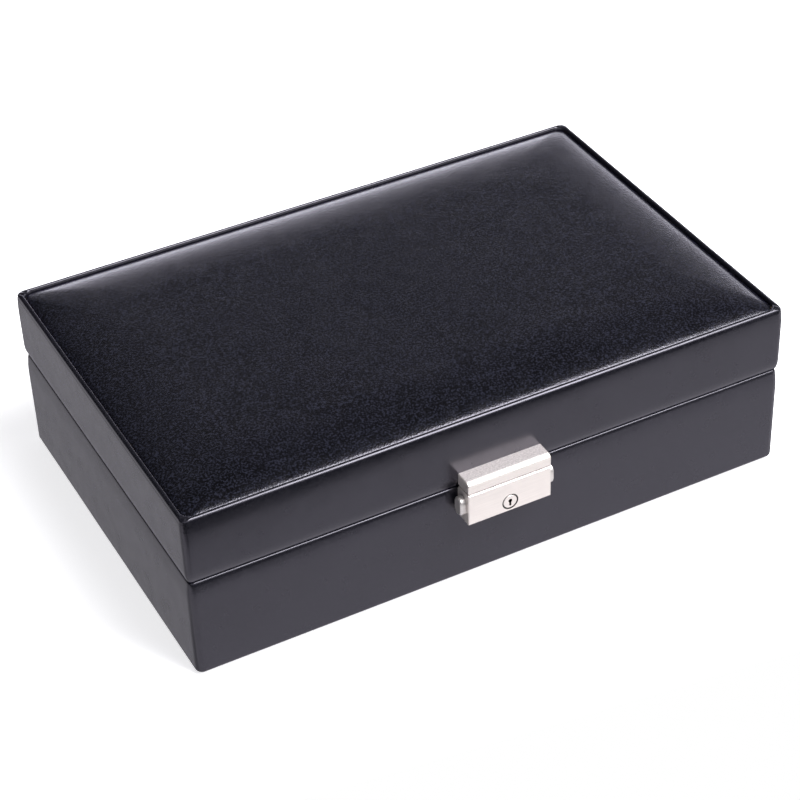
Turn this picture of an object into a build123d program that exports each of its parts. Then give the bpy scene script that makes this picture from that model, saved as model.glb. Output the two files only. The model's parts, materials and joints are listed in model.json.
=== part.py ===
from build123d import *
import math
import os

# Cufflink case: a leather-covered, padded-lid box with a press lock on its front, a sliding
# tray on two ledges inside, and open compartments under and beside that tray.
# Millimetres. X runs along the long front, -Y is the front, +Z is up.
# The origin is the middle of the underside, on the surface that the case stands on.

# ---------------------------------------------------------------- driving dimensions
# outside of the case
case_width = 260.0          # lid, left to right
case_depth = 168.0          # lid, front to back, without lock and hinges
case_height = 75.2          # underside to the rim round the lid's panel
seam_height = 45.2          # middle of the seam between base and lid, and hinge axis
seam_gap = 0.4              # opening that stays between the two leather edges
lid_overhang = 0.5          # the lid stands this much proud of the base all round
corner_radius = 2.6         # upright edges of both leather covers
edge_radius = 1.15          # leather edge that goes over the rim
foot_edge = 0.7             # slope of the leather edge next to the underside
turned_edge = 0.9           # slope of the leather edges at the seam and inside the rim
fillet_share = 0.45         # largest fillet, as a share of the wall that carries it

# boards, leather and lining
leather = 0.8
wall_board = 6.0
floor_board = 3.0
underside_cloth = 0.8
cloth_inset = 4.0           # cloth edge to the base's outer face
leather_turn_in = 12.0      # leather glued under the floor
turn_in_gap = 0.3           # between the leather's cut edge and the floor's raised middle
liner_card = 1.5            # suede-covered frame inside the base
liner_lip = 3.5             # the frame stands this far above the seam
liner_round = 0.6           # its upper edges
lip_clearance = 0.5         # lip to the lid's lining
floor_pad = 1.5
fit_gap = 0.1               # between pieces that are glued or dropped in side by side

# rim and padded panel of the lid
rim_core = 1.0              # board left standing inside the rim
rim_depth = 5.2             # rim top down to the seat of the top board
top_board = 2.5
panel_card = 1.2
panel_gap = 0.4             # groove between rim and padded panel
panel_corner = 4.0
corner_growth = 0.6         # padding's corners grow by this share of the way in
panel_crown = 4.6           # height of the padding over the panel's card edge
panel_shoulder = 30.0       # width over which the padding rolls down to the edge
crown_steps = 8             # sections of the padded roll-off
foam_steps = 4              # sections of the foam under it, and of the padded lining
lid_liner_card = 1.2
inner_pad = 3.4             # padded sheet inside the lid, thickest place
inner_pad_edge = 1.4        # its edge
inner_pad_shoulder = 12.0
inner_pad_corner = 1.0

# sliding tray and compartments
runner_depth = 3.0
runner_height = 3.0
runner_top = 26.5
runner_round = 0.75         # ledge's inner upper edge
tray_length = 118.0
tray_top = 44.6
tray_wall = 2.2
tray_corner = 1.3           # upright edges
tray_edge = 0.55            # slope of the upper edges
tray_base = 1.6
tray_side_gap = 0.6
tray_end_gap = 0.6
tray_lift_gap = 0.2         # tray over its ledges
tray_divider = 1.6
tray_divider_drop = 2.5     # divider tops below the tray's edge
scoop_width = 26.0          # shallow finger scoops in the tray's ends
scoop_margin = 0.3          # scoop bottom above the divider tops
cells_across = 3            # along X, in tray and base alike
cells_deep = 4              # along Y
base_divider = 2.0
base_divider_drop = 3.5     # divider tops below the ledges' tops
partition_place = 0.0       # middle of the board that parts the two halves of the base

# hinges
hinge_inset = 50.0          # case's end to the hinge's middle
hinge_length = 30.0
knuckles = 3
knuckle_gap = 0.2
knuckle_radius = 1.8
pin_radius = 0.9
pin_fit = 0.05
hinge_stand_off = 0.6       # hinge axis behind the lid's rear face
leaf_depth = 7.0            # hinge axis to the leaf's inner edge
notch_clearance = 0.3
hinge_screw_spacing = 18.0
hinge_screw_length = 9.0
hinge_screw_head = 1.5
hinge_screw_shank = 0.9
screw_fit = 0.05

# press lock
lock_width = 36.2
lock_front = 8.0            # lock front from the lid's front face
lock_bottom = 32.1
lock_top = 46.4             # upper edge of the fixed body
hasp_gap = 0.4              # between body and hasp
hasp_top = 52.1
hasp_bevel_drop = 1.1
hasp_bevel_run = 1.7
lock_wall = 1.2
lock_top_wall = 2.0
lock_face_wall = 1.0
lock_edge = 0.35            # slope of the outer edges of both castings
back_plate = 0.8
lid_sweep = 0.3             # body's upper part to the lid's leather
plug_height = 36.6          # keyhole's middle
plug_radius = 3.24
plug_fit = 0.06
plug_chamfer = 0.45
boss_wall = 0.9
plug_length = 5.8
cam_gap = 0.2               # cam to the end of the plug's bearing
cam_thickness = 0.9
cam_disc = 2.6              # radius of the cam round the plug's end
cam_reach = 5.0
cam_width = 3.0
cam_screw_head = 1.5        # radius
cam_screw_head_height = 0.7
cam_screw_edge = 0.2
cam_screw_shank = 0.8
cam_screw_grip = 2.0        # thread length inside the plug
keyhole_radius = 0.85
keyhole_slot = 0.9
keyhole_drop = 2.0
keyhole_depth = 2.8
button_height = 8.2
button_depth = 5.2
button_middle = 39.7
button_reach = 2.5          # button end outside the body
button_travel = 1.5
button_fit = 0.1
button_flange = 0.35
flange_thickness = 1.0
button_edge = 0.5           # slope round the button's end
slider_low = 40.3
slider_high = 43.2
cam_side_gap = 1.5          # cam's raised finger to the end of a pressed slider
slider_thickness = 3.4
slider_back_gap = 0.3       # slider to the bosses on the back plate
prong_place = 12.0          # hasp prong's middle from the lock's middle
prong_thickness = 1.2
prong_width = 1.5
prong_length = 6.6
prong_front_gap = 0.4       # prong to the body's front wall
prong_slot_gap = 0.25
window_margin = 0.35        # prong left beside its window
window_sill = 0.7           # prong left under its window
window_height = 2.0
hook_clearance = 0.3        # hook tip to prong
hook_length = 2.1
hook_height = 1.6
hook_lead_in = 0.5          # slope that the closing prong pushes aside
spring_post = 0.6           # half thickness of the lug between the springs
spring_radius = 0.7
spring_wire = 0.35
spring_turns = 3
spring_end_gap = 0.05       # spring to the lug and to the slider
lock_screw_place = 10.5
lock_screw_shank = 1.0
lock_screw_head = 1.8
lock_screw_head_height = 1.2
lock_screw_height = 38.0
thread_boss = 0.6           # threaded bosses on the back plate
thread_boss_wall = 1.0
hasp_screw_depth = 3.0      # thread length inside the hasp

# ---------------------------------------------------------------- worked-out places
base_width = case_width - 2 * lid_overhang
base_depth = case_depth - 2 * lid_overhang
leather_bottom = underside_cloth
base_top = seam_height - seam_gap / 2
lid_bottom = seam_height + seam_gap / 2
board_corner = corner_radius - leather
wall_total = leather + wall_board

floor_low = leather_bottom + leather
floor_high = floor_low + floor_board
base_board_top = base_top - leather
base_clear_x = base_width / 2 - wall_total       # inner faces of the base's boards
base_clear_y = base_depth / 2 - wall_total
liner_top = seam_height + liner_lip
inner_x = base_clear_x - liner_card              # inner faces of the base's lining
inner_y = base_clear_y - liner_card
inner_floor = floor_high + floor_pad

lid_board_bottom = lid_bottom + leather
panel_seat = case_height - rim_depth
rim_width = 2 * leather + rim_core
rim_radius = min(edge_radius, fillet_share * rim_width)
lid_clear_x = case_width / 2 - wall_total
lid_clear_y = case_depth / 2 - wall_total
lid_inner_x = lid_clear_x - lid_liner_card
lid_inner_y = lid_clear_y - lid_liner_card
panel_low = panel_seat + top_board
panel_width = case_width - 2 * (rim_width + panel_gap)
panel_depth = case_depth - 2 * (rim_width + panel_gap)

tray_low = runner_top + tray_lift_gap
tray_left = -inner_x + tray_end_gap
tray_right = tray_left + tray_length
tray_half_depth = inner_y - tray_side_gap
base_divider_top = runner_top - base_divider_drop

hinge_place = case_width / 2 - hinge_inset       # from the case's middle
hinge_y = case_depth / 2 + hinge_stand_off
hinge_z = seam_height
knuckle_length = hinge_length / knuckles
notch_reach = knuckle_radius + notch_clearance
leaf_end = hinge_y - leaf_depth
hinge_screw_y = case_depth / 2 - leather - wall_board / 2

lid_front = -case_depth / 2
base_front = -base_depth / 2
lock_face = lid_front - lock_front
lock_half = lock_width / 2
lock_inside_x = lock_half - lock_wall
lock_inside_front = lock_face + lock_face_wall
back_plate_front = base_front - back_plate
thread_boss_rear = back_plate_front - thread_boss
thread_boss_radius = lock_screw_shank + screw_fit + thread_boss_wall
slider_rear = thread_boss_rear - slider_back_gap
slider_front = slider_rear - slider_thickness
button_y = (lock_inside_front + back_plate_front) / 2
slider_inner = cam_width / 2 + cam_side_gap + button_travel   # inner end, from the middle
spring_y = slider_front + spring_radius + spring_wire
spring_z = (slider_low + slider_high) / 2
prong_front = lock_inside_front + prong_front_gap
prong_rear = prong_front + prong_width
hasp_bottom = lock_top + hasp_gap
hasp_screw_height = (hasp_bottom + hasp_top) / 2


# ---------------------------------------------------------------- helpers
def slab(width, depth, radius, low, high, mode=Mode.ADD):
    """Upright plate centred on the origin, with rounded upright edges."""
    with BuildSketch(Plane.XY.offset(low)) as plan:
        if radius > 0:
            RectangleRounded(width, depth, radius)
        else:
            Rectangle(width, depth)
    extrude(plan.sketch, amount=high - low, mode=mode)


def block(xs, ys, zs, mode=Mode.ADD):
    """Straight block between three pairs of limits."""
    with BuildSketch(Plane.XY.offset(zs[0])) as plan:
        with Locations(((xs[0] + xs[1]) / 2, (ys[0] + ys[1]) / 2)):
            Rectangle(xs[1] - xs[0], ys[1] - ys[0])
    extrude(plan.sketch, amount=zs[1] - zs[0], mode=mode)


def rod_y(x, z, radius, ys, mode=Mode.ADD):
    """Round rod or hole along Y, between two places."""
    with BuildSketch(Plane.XZ.offset(-ys[1])) as circle:
        with Locations((x, z)):
            Circle(radius)
    extrude(circle.sketch, amount=ys[1] - ys[0], mode=mode)


def rod_z(x, y, radius, zs, mode=Mode.ADD):
    """Upright round rod or hole."""
    with BuildSketch(Plane.XY.offset(zs[0])) as circle:
        with Locations((x, y)):
            Circle(radius)
    extrude(circle.sketch, amount=zs[1] - zs[0], mode=mode)


def rod_x(y, z, radius, xs, mode=Mode.ADD):
    """Round rod or hole along X."""
    with BuildSketch(Plane.YZ.offset(xs[0])) as circle:
        with Locations((y, z)):
            Circle(radius)
    extrude(circle.sketch, amount=xs[1] - xs[0], mode=mode)


def countersunk_screw(head_centre, along, head, shank, length):
    """Screw whose flat head lies at head_centre and whose shank points along."""
    across = Vector(1, 0, 0)
    with BuildSketch(Plane(head_centre, x_dir=across, z_dir=across.cross(Vector(*along)))) as half:
        with BuildLine():
            Polyline(
                (0, 0), (head, 0), (shank, head - shank), (shank, length), (0, length), close=True
            )
        make_face()
    revolve(half.sketch, axis=Axis(head_centre, along))


def cheese_head_screw(x, z, head_face, head_height, length):
    """Machine screw that points to the front, with a flat round head."""
    rod_y(x, z, lock_screw_head, (head_face - head_height, head_face))
    rod_y(x, z, lock_screw_shank, (head_face - length, head_face - head_height))


def write(piece, name):
    """Label a finished piece and write it as its own file."""
    piece.part.label = name
    export_step(piece.part, f"parts/{name}.step")


def side_name(sign):
    return "left" if sign < 0 else "right"


def corner_edges(piece, width, depth):
    """Upright edges that lie on the outer corners of a plan."""
    return piece.edges().filter_by(Axis.Z).filter_by(
        lambda edge: abs(abs(edge.center().X) - width / 2) < 0.01
        and abs(abs(edge.center().Y) - depth / 2) < 0.01
    )


def cut_hinge_notches(grow=0.0):
    """Room for the hinge barrels in whatever stands round them."""
    for sign in (-1, 1):
        middle = sign * hinge_place
        half = hinge_length / 2 + notch_clearance
        block(
            (middle - half, middle + half),
            (hinge_y - notch_reach - grow, hinge_y + notch_reach),
            (hinge_z - notch_reach, hinge_z + notch_reach),
            mode=Mode.SUBTRACT,
        )


def cut_leaf_seats(zs):
    """Leaf-sized windows in a leather edge, so that the leaf lies on the board."""
    for sign in (-1, 1):
        middle = sign * hinge_place
        half = hinge_length / 2 + notch_clearance
        block(
            (middle - half, middle + half),
            (leaf_end - fit_gap, hinge_y),
            zs,
            mode=Mode.SUBTRACT,
        )


def hinge_screw_places():
    for sign in (-1, 1):
        for side in (-1, 1):
            yield sign * hinge_place + side * hinge_screw_spacing / 2


def cut_lock_holes(height, ys):
    """Clearance holes for a pair of screws that come through the front from inside."""
    for sign in (-1, 1):
        rod_y(sign * lock_screw_place, height, lock_screw_shank + screw_fit, ys, Mode.SUBTRACT)


def counterbore_front_board(height, inner_face):
    """Screw holes of the lock, with the heads sunk into the board behind the lining."""
    for sign in (-1, 1):
        place = (sign * lock_screw_place, inner_face, height)
        with Locations(Plane(place, x_dir=(1, 0, 0), z_dir=(0, 1, 0))):
            CounterBoreHole(
                lock_screw_shank + screw_fit, lock_screw_head + screw_fit,
                lock_screw_head_height, wall_board,
            )


os.makedirs("parts", exist_ok=True)

# ---------------------------------------------------------------- base: leather and boards
with BuildPart() as base_leather:
    slab(base_width, base_depth, corner_radius, leather_bottom, base_top)
    chamfer(base_leather.faces().sort_by(Axis.Z)[-1].edges(), turned_edge)
    chamfer(base_leather.faces().sort_by(Axis.Z)[0].edges(), foot_edge)
    slab(
        base_width - 2 * leather, base_depth - 2 * leather, board_corner,
        floor_low, base_board_top, Mode.SUBTRACT,
    )
    slab(
        base_width - 2 * leather_turn_in, base_depth - 2 * leather_turn_in, 0,
        leather_bottom, floor_low, Mode.SUBTRACT,
    )
    slab(2 * base_clear_x, 2 * base_clear_y, 0, base_board_top, base_top, Mode.SUBTRACT)
    cut_hinge_notches()
    cut_leaf_seats((base_board_top, base_top))
    cut_lock_holes(lock_screw_height, (base_front, base_front + leather))
write(base_leather, "base_leather")

with BuildPart() as base_floor_board:
    slab(base_width - 2 * leather, base_depth - 2 * leather, board_corner, floor_low, floor_high)
    raised_x = base_width - 2 * (leather_turn_in + turn_in_gap)
    raised_y = base_depth - 2 * (leather_turn_in + turn_in_gap)
    slab(raised_x, raised_y, 0, leather_bottom, floor_low)
write(base_floor_board, "base_floor_board")

with BuildPart() as underside_sheet:
    slab(
        base_width - 2 * cloth_inset, base_depth - 2 * cloth_inset, corner_radius,
        0, underside_cloth,
    )
write(underside_sheet, "underside_cloth")

base_board_x = base_width / 2 - leather
base_board_y = base_depth / 2 - leather

for sign, name in ((-1, "base_board_front"), (1, "base_board_rear")):
    with BuildPart() as board:
        near = sign * base_clear_y
        far = sign * base_board_y
        block(
            (-base_board_x, base_board_x), (min(near, far), max(near, far)),
            (floor_high, base_board_top),
        )
        fillet(corner_edges(board, 2 * base_board_x, 2 * base_board_y), board_corner)
        if sign < 0:
            counterbore_front_board(lock_screw_height, -base_clear_y)
        else:
            cut_hinge_notches()
            for x in hinge_screw_places():
                rod_z(
                    x, hinge_screw_y, hinge_screw_shank + screw_fit,
                    (base_top - hinge_screw_length - screw_fit, base_board_top), Mode.SUBTRACT,
                )
    write(board, name)

for sign in (-1, 1):
    with BuildPart() as board:
        near = sign * base_clear_x
        far = sign * base_board_x
        block(
            (min(near, far), max(near, far)), (-base_clear_y, base_clear_y),
            (floor_high, base_board_top),
        )
    write(board, f"base_board_{side_name(sign)}")

# ---------------------------------------------------------------- base: lining and compartments
with BuildPart() as base_liner:
    slab(2 * base_clear_x, 2 * base_clear_y, 0, floor_high, liner_top)
    slab(2 * inner_x, 2 * inner_y, 0, floor_high, liner_top, Mode.SUBTRACT)
    fillet(base_liner.faces().sort_by(Axis.Z)[-1].edges(), min(liner_round, fillet_share * liner_card))
write(base_liner, "base_liner")

with BuildPart() as base_floor_pad:
    slab(2 * (inner_x - fit_gap), 2 * (inner_y - fit_gap), 0, floor_high, inner_floor)
write(base_floor_pad, "base_floor_pad")

for sign, name in ((-1, "runner_front"), (1, "runner_rear")):
    with BuildPart() as runner:
        near = sign * (inner_y - runner_depth)
        far = sign * inner_y
        block(
            (-inner_x + fit_gap, inner_x - fit_gap), (min(near, far), max(near, far)),
            (runner_top - runner_height, runner_top),
        )
        fillet(
            runner.edges().filter_by(Axis.X).group_by(Axis.Z)[-1]
            .sort_by(lambda edge: abs(edge.center().Y))[0],
            runner_round,
        )
    write(runner, name)


def cell_dividers(xs, ys, zs, thickness, prefix):
    """Half-lapped divider strips that part a rectangle into equal cells."""
    cell_x = (xs[1] - xs[0] - (cells_across - 1) * thickness) / cells_across
    cell_y = (ys[1] - ys[0] - (cells_deep - 1) * thickness) / cells_deep
    lap = (zs[0] + zs[1]) / 2
    strips_x = [xs[0] + (i + 1) * cell_x + (i + 0.5) * thickness for i in range(cells_across - 1)]
    strips_y = [ys[0] + (i + 1) * cell_y + (i + 0.5) * thickness for i in range(cells_deep - 1)]
    half = thickness / 2
    slot = half + fit_gap
    for number, x in enumerate(strips_x, 1):
        with BuildPart() as strip:
            block((x - half, x + half), (ys[0] + fit_gap, ys[1] - fit_gap), zs)
            for y in strips_y:
                block((x - half, x + half), (y - slot, y + slot), (lap, zs[1]), Mode.SUBTRACT)
        write(strip, f"{prefix}_cross_{number}")
    for number, y in enumerate(strips_y, 1):
        with BuildPart() as strip:
            block((xs[0] + fit_gap, xs[1] - fit_gap), (y - half, y + half), zs)
            for x in strips_x:
                block((x - slot, x + slot), (y - half, y + half), (zs[0], lap), Mode.SUBTRACT)
        write(strip, f"{prefix}_long_{number}")


partition_half = base_divider / 2
with BuildPart() as base_partition:
    block(
        (partition_place - partition_half, partition_place + partition_half),
        (-inner_y + fit_gap, inner_y - fit_gap), (inner_floor, base_divider_top),
    )
write(base_partition, "base_partition")

with BuildPart() as base_left_divider:
    block(
        (-inner_x + fit_gap, partition_place - partition_half - fit_gap),
        (-partition_half, partition_half), (inner_floor, base_divider_top),
    )
write(base_left_divider, "base_left_divider")

cell_dividers(
    (partition_place + partition_half, inner_x), (-inner_y, inner_y),
    (inner_floor, base_divider_top), base_divider, "base_divider",
)

# ---------------------------------------------------------------- sliding tray
with BuildPart() as tray_frame:
    block(
        (tray_left, tray_right), (-tray_half_depth, tray_half_depth), (tray_low, tray_top)
    )
    fillet(tray_frame.edges().filter_by(Axis.Z), tray_corner)
    block(
        (tray_left + tray_wall, tray_right - tray_wall),
        (-tray_half_depth + tray_wall, tray_half_depth - tray_wall),
        (tray_low, tray_top), Mode.SUBTRACT,
    )
    chamfer(tray_frame.faces().sort_by(Axis.Z)[-1].edges(), min(tray_edge, fillet_share * tray_wall))
    scoop_depth = tray_divider_drop - scoop_margin
    scoop_radius = (scoop_width**2 / 4 + scoop_depth**2) / (2 * scoop_depth)
    rod_x(
        0, tray_top - scoop_depth + scoop_radius, scoop_radius,
        (tray_left, tray_right), Mode.SUBTRACT,
    )
write(tray_frame, "tray_frame")

with BuildPart() as tray_floor:
    block(
        (tray_left + tray_wall + fit_gap, tray_right - tray_wall - fit_gap),
        (-tray_half_depth + tray_wall + fit_gap, tray_half_depth - tray_wall - fit_gap),
        (tray_low, tray_low + tray_base),
    )
write(tray_floor, "tray_floor")

cell_dividers(
    (tray_left + tray_wall, tray_right - tray_wall),
    (-tray_half_depth + tray_wall, tray_half_depth - tray_wall),
    (tray_low + tray_base, tray_top - tray_divider_drop), tray_divider, "tray_divider",
)

# ---------------------------------------------------------------- lid: leather and boards
with BuildPart() as lid_leather:
    slab(case_width, case_depth, corner_radius, lid_bottom, case_height)
    fillet(lid_leather.faces().sort_by(Axis.Z)[-1].edges(), rim_radius)
    chamfer(lid_leather.faces().sort_by(Axis.Z)[0].edges(), turned_edge)
    slab(
        case_width - 2 * rim_width, case_depth - 2 * rim_width, panel_corner,
        panel_seat, case_height, Mode.SUBTRACT,
    )
    chamfer(lid_leather.edges(Select.LAST).group_by(Axis.Z)[-1], min(turned_edge, rim_radius))
    slab(
        case_width - 2 * leather, case_depth - 2 * leather, board_corner,
        lid_board_bottom, panel_seat, Mode.SUBTRACT,
    )
    with BuildSketch(Plane.XY.offset(panel_seat)):
        RectangleRounded(case_width - 2 * leather, case_depth - 2 * leather, board_corner)
        RectangleRounded(
            case_width - 2 * (leather + rim_core), case_depth - 2 * (leather + rim_core),
            panel_corner + leather, mode=Mode.SUBTRACT,
        )
    extrude(amount=case_height - leather - panel_seat, mode=Mode.SUBTRACT)
    slab(2 * lid_clear_x, 2 * lid_clear_y, 0, lid_bottom, lid_board_bottom, Mode.SUBTRACT)
    cut_hinge_notches()
    cut_leaf_seats((lid_bottom, lid_board_bottom))
    cut_lock_holes(hasp_screw_height, (lid_front, lid_front + leather))
write(lid_leather, "lid_leather")

lid_board_x = case_width / 2 - leather
lid_board_y = case_depth / 2 - leather
rim_board_top = case_height - leather


def cut_panel_recess():
    """Step that leaves the thin rim standing and seats the top board."""
    slab(
        case_width - 2 * (leather + rim_core), case_depth - 2 * (leather + rim_core),
        panel_corner + leather, panel_seat, rim_board_top, Mode.SUBTRACT,
    )


for sign, name in ((-1, "lid_board_front"), (1, "lid_board_rear")):
    with BuildPart() as board:
        near = sign * lid_clear_y
        far = sign * lid_board_y
        block(
            (-lid_board_x, lid_board_x), (min(near, far), max(near, far)),
            (lid_board_bottom, rim_board_top),
        )
        fillet(corner_edges(board, 2 * lid_board_x, 2 * lid_board_y), board_corner)
        cut_panel_recess()
        if sign < 0:
            counterbore_front_board(hasp_screw_height, -lid_clear_y)
        else:
            cut_hinge_notches()
            for x in hinge_screw_places():
                rod_z(
                    x, hinge_screw_y, hinge_screw_shank + screw_fit,
                    (lid_board_bottom, lid_bottom + hinge_screw_length + screw_fit),
                    Mode.SUBTRACT,
                )
    write(board, name)

for sign in (-1, 1):
    with BuildPart() as board:
        near = sign * lid_clear_x
        far = sign * lid_board_x
        block(
            (min(near, far), max(near, far)), (-lid_clear_y, lid_clear_y),
            (lid_board_bottom, rim_board_top),
        )
        cut_panel_recess()
    write(board, f"lid_board_{side_name(sign)}")

with BuildPart() as lid_top_board:
    slab(
        case_width - 2 * (rim_width + fit_gap), case_depth - 2 * (rim_width + fit_gap),
        panel_corner, panel_seat, panel_low,
    )
write(lid_top_board, "lid_top_board")


# ---------------------------------------------------------------- lid: padded panel and lining
def padded_body(width, depth, corner, edge_z, crown, shoulder, skin, up, steps):
    """Padding that rolls off to its edge along a quarter of an ellipse, as a loft.

    skin moves every section inwards, and up is +1 or -1 for the side that bulges. Only the edge
    has round corners: above it they are cut straight, through the middle of each round one.
    """
    for step in range(steps + 1):
        angle = math.radians(90 * step / steps)
        inset = shoulder * (1 - math.cos(angle)) + skin
        height = edge_z + up * (crown - skin) * math.sin(angle)
        radius = corner + corner_growth * (inset - skin)
        with BuildSketch(Plane.XY.offset(height)) as section:
            outline = Rectangle(width - 2 * inset, depth - 2 * inset)
            if step == 0:
                fillet(outline.vertices(), radius)
            else:
                chamfer(outline.vertices(), radius * (2 - math.sqrt(2)))
        yield section.sketch


panel_edge = panel_low + panel_card

with BuildPart() as panel_card_piece:
    slab(panel_width - 2 * leather, panel_depth - 2 * leather, panel_corner, panel_low, panel_edge)
write(panel_card_piece, "panel_card")

foam_sections = list(padded_body(
    panel_width, panel_depth, panel_corner, panel_edge, panel_crown, panel_shoulder, leather, 1,
    foam_steps,
))
leather_sections = list(padded_body(
    panel_width, panel_depth, panel_corner, panel_edge, panel_crown, panel_shoulder, 0, 1,
    crown_steps,
))

with BuildPart() as panel_foam:
    loft(foam_sections, ruled=True)
write(panel_foam, "panel_foam")

with BuildPart() as panel_leather:
    slab(panel_width, panel_depth, panel_corner, panel_low, panel_edge)
    slab(
        panel_width - 2 * leather, panel_depth - 2 * leather, panel_corner,
        panel_low, panel_edge, Mode.SUBTRACT,
    )
    loft(leather_sections, ruled=True)
    loft(foam_sections, ruled=True, mode=Mode.SUBTRACT)
write(panel_leather, "panel_leather")

with BuildPart() as lid_liner:
    slab(2 * lid_clear_x, 2 * lid_clear_y, 0, liner_top + lip_clearance, panel_seat)
    slab(2 * lid_inner_x, 2 * lid_inner_y, 0, liner_top + lip_clearance, panel_seat, Mode.SUBTRACT)
write(lid_liner, "lid_liner")

inner_pad_sections = list(padded_body(
    2 * (lid_inner_x - fit_gap), 2 * (lid_inner_y - fit_gap), inner_pad_corner,
    panel_seat - inner_pad_edge, inner_pad - inner_pad_edge, inner_pad_shoulder, 0, -1,
    foam_steps,
))
with BuildPart() as lid_inner_pad:
    slab(
        2 * (lid_inner_x - fit_gap), 2 * (lid_inner_y - fit_gap), inner_pad_corner,
        panel_seat - inner_pad_edge, panel_seat,
    )
    loft(inner_pad_sections, ruled=True)
write(lid_inner_pad, "lid_inner_pad")

# ---------------------------------------------------------------- hinges


def hinge_leaf(middle, leaf_zs, own_knuckle, name):
    """Leaf with its share of the barrel; own_knuckle says which knuckles belong to it."""
    start = middle - hinge_length / 2
    with BuildPart() as leaf:
        block((start, start + hinge_length), (leaf_end, hinge_y), leaf_zs)
        for x in (middle - hinge_screw_spacing / 2, middle + hinge_screw_spacing / 2):
            rod_z(x, hinge_screw_y, hinge_screw_shank + screw_fit, leaf_zs, Mode.SUBTRACT)
            downwards = leaf_zs[1] <= hinge_z
            face = leaf_zs[1] if downwards else leaf_zs[0]
            with Locations(Plane(
                (x, hinge_screw_y, face), x_dir=(1, 0, 0), z_dir=(0, 0, 1 if downwards else -1)
            )):
                CounterSinkHole(
                    hinge_screw_shank + screw_fit, hinge_screw_head + screw_fit, leather
                )
        for number in range(knuckles):
            low = start + number * knuckle_length
            high = low + knuckle_length
            if number % 2 == own_knuckle:
                inner_low = low + (knuckle_gap / 2 if number else 0)
                inner_high = high - (knuckle_gap / 2 if number < knuckles - 1 else 0)
                rod_x(hinge_y, hinge_z, knuckle_radius, (inner_low, inner_high))
            else:
                outer_low = low - (knuckle_gap / 2 if number else notch_clearance)
                outer_high = high + (knuckle_gap / 2 if number < knuckles - 1 else notch_clearance)
                block(
                    (outer_low, outer_high), (hinge_y - notch_reach, hinge_y + notch_reach),
                    (hinge_z - notch_reach, hinge_z + notch_reach), Mode.SUBTRACT,
                )
        rod_x(
            hinge_y, hinge_z, pin_radius + pin_fit, (start, start + hinge_length), Mode.SUBTRACT
        )
    write(leaf, name)


for sign in (-1, 1):
    side = side_name(sign)
    middle = sign * hinge_place
    hinge_leaf(middle, (base_board_top, base_top), 0, f"hinge_leaf_base_{side}")
    hinge_leaf(middle, (lid_bottom, lid_board_bottom), 1, f"hinge_leaf_lid_{side}")
    with BuildPart() as hinge_pin:
        rod_x(
            hinge_y, hinge_z, pin_radius,
            (middle - hinge_length / 2, middle + hinge_length / 2),
        )
    write(hinge_pin, f"hinge_pin_{side}")

with BuildPart() as hinge_screws_base:
    for x in hinge_screw_places():
        countersunk_screw(
            (x, hinge_screw_y, base_top), (0, 0, -1),
            hinge_screw_head, hinge_screw_shank, hinge_screw_length,
        )
write(hinge_screws_base, "hinge_screws_base")

with BuildPart() as hinge_screws_lid:
    for x in hinge_screw_places():
        countersunk_screw(
            (x, hinge_screw_y, lid_bottom), (0, 0, 1),
            hinge_screw_head, hinge_screw_shank, hinge_screw_length,
        )
write(hinge_screws_lid, "hinge_screws_lid")

# ---------------------------------------------------------------- press lock: fixed pieces
cavity_low = lock_bottom + lock_wall
cavity_high = lock_top - lock_top_wall
plug_rear = lock_face + plug_length
bearing_rear = plug_rear - cam_gap
bore_radius = plug_radius + plug_fit
prong_half = prong_thickness / 2


def stadium_x(height, depth, xs, mode=Mode.ADD):
    """Oblong, round-ended bar along X, on the buttons' axis."""
    with BuildSketch(Plane.YZ.offset(xs[0])) as outline:
        with Locations((button_y, button_middle)):
            SlotOverall(height, depth, rotation=90)
    extrude(outline.sketch, amount=xs[1] - xs[0], mode=mode)


with BuildPart() as lock_body:
    block((-lock_half, lock_half), (lock_face, base_front), (lock_bottom, lock_top))
    chamfer(lock_body.faces().sort_by(Axis.Y)[0].edges(), lock_edge)
    block(
        (-lock_half, lock_half), (lid_front - lid_sweep, base_front), (base_top, lock_top),
        Mode.SUBTRACT,
    )
    block(
        (-lock_inside_x, lock_inside_x), (lock_inside_front, base_front),
        (cavity_low, cavity_high), Mode.SUBTRACT,
    )
    # bearing of the plug, and the lug that both springs push against
    rod_y(0, plug_height, bore_radius + boss_wall, (lock_inside_front, bearing_rear))
    block(
        (-spring_post, spring_post), (slider_front, slider_front + 2 * (spring_radius + spring_wire)),
        (slider_low, cavity_high),
    )
    rod_y(0, plug_height, bore_radius, (lock_face, bearing_rear), Mode.SUBTRACT)
    for sign in (-1, 1):
        wall = sorted((sign * (lock_inside_x - lock_edge), sign * lock_half))
        stadium_x(
            button_height + 2 * button_fit, button_depth + 2 * button_fit, wall, Mode.SUBTRACT
        )
        slot_half = prong_half + prong_slot_gap
        block(
            (sign * prong_place - slot_half, sign * prong_place + slot_half),
            (prong_front - prong_slot_gap, prong_rear + 2 * prong_slot_gap),
            (cavity_high - lock_edge, lock_top), Mode.SUBTRACT,
        )
        # room for the threaded bosses, wherever the screws stand
        rod_y(
            sign * lock_screw_place, lock_screw_height, thread_boss_radius + fit_gap,
            (thread_boss_rear - fit_gap, base_front), Mode.SUBTRACT,
        )
write(lock_body, "lock_body")

with BuildPart() as lock_back_plate:
    block(
        (-lock_inside_x + fit_gap, lock_inside_x - fit_gap), (back_plate_front, base_front),
        (cavity_low + fit_gap, cavity_high - fit_gap),
    )
    for sign in (-1, 1):
        rod_y(
            sign * lock_screw_place, lock_screw_height,
            thread_boss_radius, (thread_boss_rear, back_plate_front),
        )
    cut_lock_holes(lock_screw_height, (thread_boss_rear, base_front))
write(lock_back_plate, "lock_back_plate")

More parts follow.
